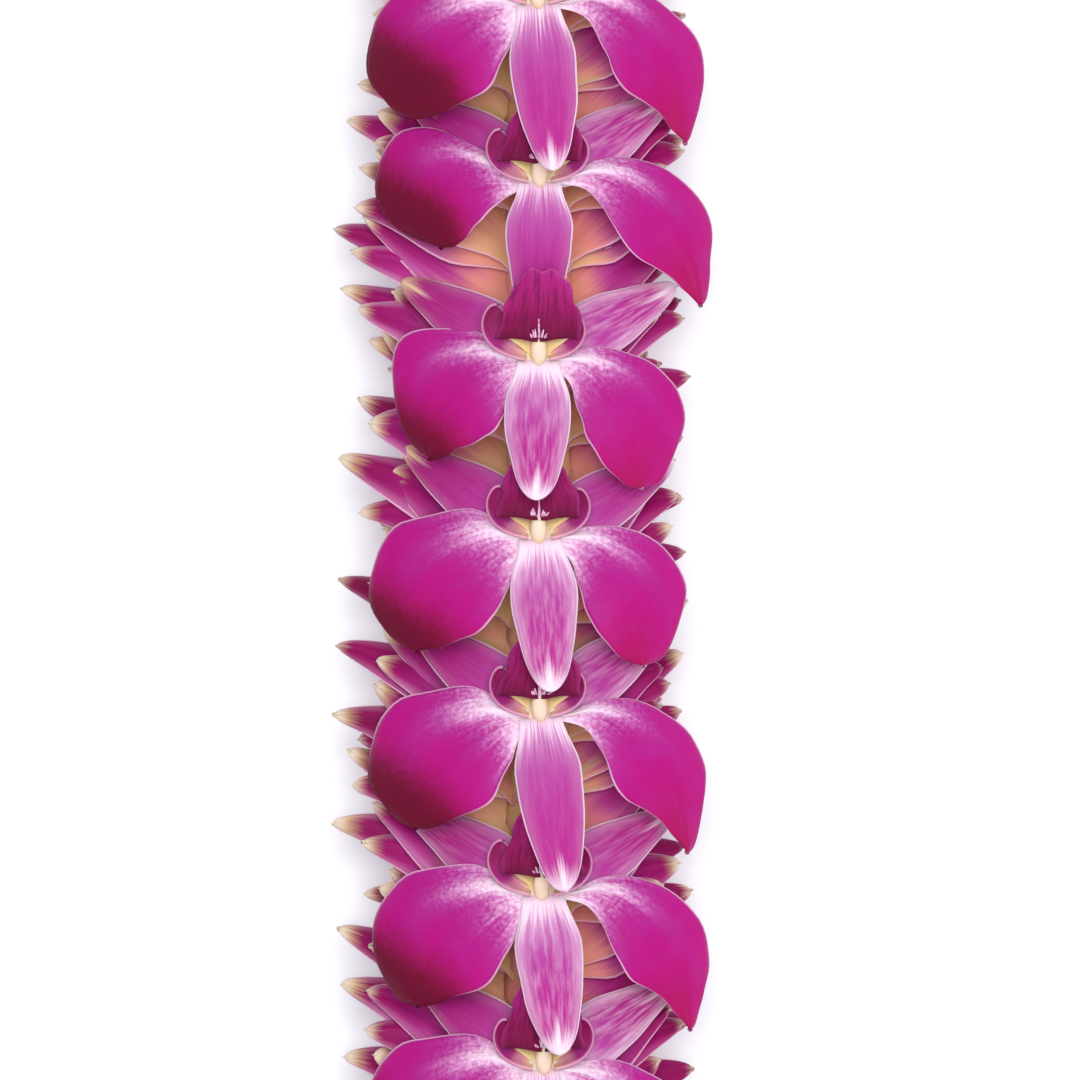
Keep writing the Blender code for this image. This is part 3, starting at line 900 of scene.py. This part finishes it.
def make_blossom(index):
    """A face-up blossom as one piece: its sheets first, then its heart."""
    rng = random.Random(BLOSSOM_SEED + index)
    known = index in KNOWN_BLOSSOMS
    inner, outer, direction, length, paleness, dusky, raised, turned_up = KNOWN_BLOSSOMS.get(
        index,
        (
            rng.choice((ROUND, BROAD, BROAD, HIGH)), rng.choice((LEANING, LONG)),
            -90 + rng.uniform(-7, 8), rng.uniform(26, 32), rng.uniform(0, 0.9),
            rng.uniform(10, 18), 0.0, rng.uniform(-0.1, 0.1),
        ),
    )
    frame = frame_at((index - 1) * PITCH) @ Matrix.Translation(
        (rng.uniform(-0.6, 0.6) * MM, 0 if known else rng.uniform(-1, 1) * MM, 0)
    )
    bm = start_piece()
    inner_turn = 0.0 if known else rng.uniform(-0.10, 0.10)
    # Only the inner petal's end darkens, with painted shade over its own crimson.
    for side, margins, turn, begin in ((-1, inner, inner_turn, dusky), (1, outer, turned_up, NEVER)):
        size = 1.0 if known else rng.uniform(0.94, 1.05)
        add_petal(
            bm, frame, side, margins, turn, size, rng.uniform(5.5, 7.5), begin,
            rng.uniform(0, 1), rng.random(),
        )
    droop, power = BENT_DROOP, BENT_POWER
    if index != BENT_BLOSSOM:
        droop, power = rng.uniform(0.5, 2.0), SEPAL_POWER
    add_sepal(
        bm, frame, direction, length, DORSAL, 0.9, droop, 0.0,
        (0, paleness, rng.random()), power,
    )
    # The lateral sepal at 152 degrees, on the inner side, darkens more at its end: painted shade over its
    # own crimson.
    for direction, bend in ((28 + rng.uniform(-4, 4), 1.5), (152 + rng.uniform(-4, 4), -1.5)):
        add_sepal(
            bm, frame, direction, rng.uniform(28, 30.5), LATERAL, -1.3, rng.uniform(0.5, 2.0), bend,
            (0.5, rng.uniform(0, 0.4), rng.random()) if direction > 90
            else (0.4 * rng.random(), rng.random(), 0),
        )
    add_lip(bm, frame, rng, raised)
    bm = thickened(bm, TEPAL_THICKNESS)
    add_heart(bm, frame, rng, raised)
    finish_piece(bm, f"blossom_{index:02d}_look", f"blossom_{index:02d}")


# ---------------------------------------------------------------- the nests of threaded blossoms

# Where the blossoms of a nest are threaded, in millimetres on from the face-up blossom.
NEST_PLACES = (5, 16, 27)
NEST_SEED = 300
# Each side tepal of a nested blossom: its side, reach, half width and flare in millimetres, the height of
# its midline at base and tip, its lean in degrees, and how much its end darkens, partly its own crimson and
# partly painted shade, heaviest on the nest's inner side.
SIDE_TEPALS = (
    (-1, 37.5, 6.6, 21, 1.0, -5.0, 40, 0.85),
    (-1, 34.0, 6.8, 15.5, 2.0, -1.0, 35, 0.40),
    (-1, 32.0, 8.0, 21, 3.0, -1.5, 20, 0.10),
    (1, 28.0, 6.6, 18, 1.0, -5.0, 40, 0.25),
    (1, 26.0, 6.8, 13, 2.0, 0.0, 35, 0.10),
    (1, 23.5, 6.8, 19, 3.0, 2.5, 28, 0.0),
)
NEST_OUTLINE = Outline(1.0, 0.40, 0.40, 0.42, 3.0)
# Directions of the lower tepals in degrees, and each flap's start and height in millimetres.
LOWER_DIRECTIONS = (-40, -140)
FLAPS = ((0.0, 6.6), (5.5, 6.8))
SIDE_START = 2.2
LOWER_START = 2.6
# A flap is a tepal's foot, and shows this much of a tepal's colours.
FLAP_REACH = 0.36
# How far above the surface a sheet stays before it is thickened, and the depth it levels off in.
CLEARANCE = 0.8
LAYING_DEPTH = 1.2
SIDE_GRID = (10, 20)
LOWER_GRID = (10, 18)
FLAP_GRID = (10, 10)


def above_surface(z):
    """Keeps a height over the string from going under the surface, and lays it down gently."""
    lowest = CLEARANCE - STRING_HEIGHT / MM
    if z > lowest + LAYING_DEPTH:
        return z
    return lowest + LAYING_DEPTH * math.exp((z - lowest - LAYING_DEPTH) / LAYING_DEPTH)


def add_side_tepal(bm, frame, tepal, rng):
    """A long tepal at the side of a nested blossom."""
    side, reach, half, flare, base, tip, lean, dusky = tepal
    reach *= rng.uniform(0.82, 1.04) if side < 0 else rng.uniform(0.92, 1.05)
    half *= rng.uniform(0.9, 1.15)
    flare += rng.uniform(-2.5, 2.5)
    lean = math.radians(lean + rng.uniform(-9, 9))
    seed = rng.random()
    # How far the tepal's end darkens: painted shade over its own crimson, varied a little.
    dusky *= rng.uniform(0.3, 1.15)
    wave = seed * WAVE_SPREAD
    curl, hook = rng.uniform(-2.5, 1.2), rng.uniform(-4.5, -0.5)
    fold = rng.uniform(0.2, 0.9)

    def middle(along):
        out = SIDE_START + (reach - SIDE_START) * along
        forward = 0.6 + flare * along ** 0.72 + hook * along ** 3
        return Vector((side * out, forward, base + (tip - base) * along ** 1.3 + curl * along ** 4))

    def place(along, across):
        ahead = middle(along + 0.01) - middle(max(along - 0.01, 0))
        back = Vector((side * ahead.y, -abs(ahead.x), 0)).normalized()
        width = half * NEST_OUTLINE.at(along)
        turn = lean * (1 - 0.35 * along)
        spot = middle(along) + (back * math.cos(turn) + Vector((0, 0, math.sin(turn)))) * width * across
        spot.z += 0.9 * (1 - across * across) * ease(3 * along) - fold * bell(across, 0, 0.14)
        spot.z += 1.0 * along * noise.noise(Vector((along * 3, across * 1.2, wave + 3)))
        spot.y += 0.8 * along * noise.noise(Vector((along * 3, 0.4, wave)))
        spot.z = above_surface(spot.z)
        return frame @ (spot * MM)

    pale = rng.uniform(0.45, 1) if side < 0 else rng.uniform(0, 0.45)
    sheet(bm, *SIDE_GRID, NESTED, (dusky, pale, seed), UP, place)


def add_lower_tepal(bm, frame, rng, direction):
    """A broad tepal low on the nest's side, curved round it, that comes down to the surface."""
    angle = math.radians(direction + rng.uniform(-6, 6))
    reach, half, flare = rng.uniform(26, 30), rng.uniform(8.5, 10), rng.uniform(15, 19)
    seed = rng.random()
    wave = seed * WAVE_SPREAD

    def place(along, across):
        out = LOWER_START + (reach - LOWER_START) * along
        side = across * half * NEST_OUTLINE.at(along)
        out -= 0.45 * side * side / (out + 5)
        x = out * math.cos(angle) - side * math.sin(angle)
        z = out * math.sin(angle) + side * math.cos(angle)
        y = flare * along ** 0.66 + 1.3 * across * across * along - 0.6 * bell(across, 0, 0.16)
        y += 1.6 * along * noise.noise(Vector((along * 3, across * 1.2, wave)))
        return spot_on(frame, x, y, above_surface(z))

    facing = frame.to_3x3() @ Vector((math.cos(angle), -0.5, math.sin(angle)))
    # How far the tepal's end darkens: painted shade over its own crimson.
    dusky = 0.6 * rng.random()
    sheet(bm, *LOWER_GRID, NESTED, (dusky, rng.uniform(0, 1), seed), facing, place)


def add_flap(bm, frame, rng, start, height):
    """The foot of a tepal that lies across the top of the nest, its free edge towards the back."""
    seed = rng.random()
    wave = seed * WAVE_SPREAD
    wide = rng.uniform(6.5, 8.0)
    skew = rng.uniform(-1.2, 1.2)

    def place(along, across):
        x = across * wide * (0.75 + 0.25 * ease(along)) * math.sqrt(max(0, 1 - 0.72 * along ** 6))
        y = start + 9.5 - 10.5 * along + skew * across + 0.7 * across * across * along
        z = height - 2.6 + 3.4 * along - 0.10 * x * x + 0.4 * noise.noise(Vector((x, y, wave)) * 0.3)
        return spot_on(frame, x, y, z)

    sheet(bm, *FLAP_GRID, NESTED, (0, 0.6, seed), UP, place, FLAP_REACH)


def add_nested(bm, frame, rng):
    """All the sheets of one nested blossom."""
    for tepal in SIDE_TEPALS:
        add_side_tepal(bm, frame, tepal, rng)
    for direction in LOWER_DIRECTIONS:
        add_lower_tepal(bm, frame, rng, direction)
    for start, height in FLAPS:
        add_flap(bm, frame, rng, start, height)


def nest_core(part):
    """The middle line of a nested core, in millimetres."""
    return Vector((0, -7.5 + 10.5 * part, 0.3 * math.sin(3 * part)))


def make_nest(index):
    """A nest as one piece: its sheets first, then its cores."""
    rng = random.Random(NEST_SEED + index)
    start = (index - 1) * PITCH
    bm = start_piece()
    places = [frame_at(start + place * MM) for place in NEST_PLACES]
    for frame in places:
        add_nested(bm, frame, rng)
    bm = thickened(bm, TEPAL_THICKNESS)
    for frame in places:
        tube(
            bm, 12, 10, CREAM, (0, 0, rng.random()), frame, nest_core,
            lambda part: 2.3 + 0.9 * part, lambda part: 0.15 + 0.35 * part,
        )
    finish_piece(bm, f"nest_{index:02d}_look", f"nest_{index:02d}")


# ---------------------------------------------------------------- the string and its knot

STRING_LENGTHS = 4
STRING_RADIUS = 0.45
# Where along the loop the knot is, and its scale and its strand's radius in millimetres.
KNOT_PLACE = 15 * PITCH + 3.4 * MM
KNOT_SCALE = 0.42
KNOT_RADIUS = 0.42


def make_string():
    """The closed string, as lengths that meet end to end."""
    for length in range(STRING_LENGTHS):
        first = LOOP_LENGTH * length / STRING_LENGTHS
        last = LOOP_LENGTH * (length + 1) / STRING_LENGTHS

        def path(part, first=first, last=last):
            return frame_at(first + (last - first) * part).translation / MM

        bm = start_piece()
        tube(bm, 10, 80, COTTON, (0, 0, 0), Matrix.Identity(4), path, lambda part: STRING_RADIUS)
        finish_piece(bm, f"lei_string_{length + 1:02d}", "lei_string")


def make_knot():
    """A trefoil knot with two tails."""
    frame = frame_at(KNOT_PLACE)
    bm = start_piece()

    def trefoil(part):
        turn = 2 * math.pi * part
        return KNOT_SCALE * Vector((
            math.sin(turn) + 2 * math.sin(2 * turn), 1.3 * -math.sin(3 * turn),
            math.cos(turn) - 2 * math.cos(2 * turn),
        ))

    tube(bm, 10, 96, COTTON, (0, 0, 0), frame, trefoil, lambda part: KNOT_RADIUS, ring=True)
    for side in (-1, 1):

        def tail(part, side=side):
            return Vector((side * (0.9 + 5.5 * part), 1.2 * part, 0.8 - 3.6 * part * part))

        tube(bm, 10, 24, COTTON, (0, 0, 0), frame, tail, lambda part: KNOT_RADIUS)
    finish_piece(bm, "string_knot_look", "string_knot")


# ---------------------------------------------------------------- the floor, the light and the camera

FLOOR_HALF_SIDE = 3.0
KEY_PLACE = (END_RADIUS + 0.12, 0.28, 1.8)
KEY_TARGET = (END_RADIUS, 0, 0.02)
KEY_POWER = 21
KEY_SIZE = 1.3
SKY_COLOUR = (0.88, 0.93, 1.0, 1)
SKY_STRENGTH = 0.86
CAMERA_PLACE = (END_RADIUS, -0.9 * MM, 1.5)
CAMERA_SENSOR = 36
CAMERA_LENS = 263.5


def make_floor():
    """The surface that the lei lies on."""
    bm = bmesh.new()
    bmesh.ops.create_grid(bm, x_segments=1, y_segments=1, size=FLOOR_HALF_SIDE)
    mesh = bpy.data.meshes.new("pale_floor")
    bm.to_mesh(mesh)
    bm.free()
    mesh.materials.append(surface_floor())
    floor = bpy.data.objects.new("pale_floor", mesh)
    bpy.context.scene.collection.objects.link(floor)


def make_light(name, spot, target, power, size):
    """A round area light that faces its target."""
    data = bpy.data.lights.new(name, "AREA")
    data.energy = power
    data.shape = "DISK"
    data.size = size
    light = bpy.data.objects.new(name, data)
    light.location = spot
    light.rotation_euler = (Vector(target) - Vector(spot)).to_track_quat("-Z", "Y").to_euler()
    bpy.context.scene.collection.objects.link(light)


def make_world():
    """Even light from all round, and plain colours."""
    world = bpy.data.worlds.new("studio")
    world.use_nodes = True
    background = world.node_tree.nodes["Background"]
    background.inputs["Color"].default_value = SKY_COLOUR
    background.inputs["Strength"].default_value = SKY_STRENGTH
    bpy.context.scene.world = world
    bpy.context.scene.view_settings.view_transform = "Standard"


def make_camera():
    """A long lens straight above one straight side."""
    data = bpy.data.cameras.new("above")
    data.sensor_width = CAMERA_SENSOR
    data.lens = CAMERA_LENS
    data.clip_start = 0.05
    data.clip_end = 20
    camera = bpy.data.objects.new("above", data)
    camera.location = CAMERA_PLACE
    bpy.context.scene.collection.objects.link(camera)
    bpy.context.scene.camera = camera


for number in range(1, COUNT + 1):
    make_blossom(number)
    make_nest(number)
make_string()
make_knot()
make_floor()
make_light("key", KEY_PLACE, KEY_TARGET, KEY_POWER, KEY_SIZE)
make_world()
make_camera()
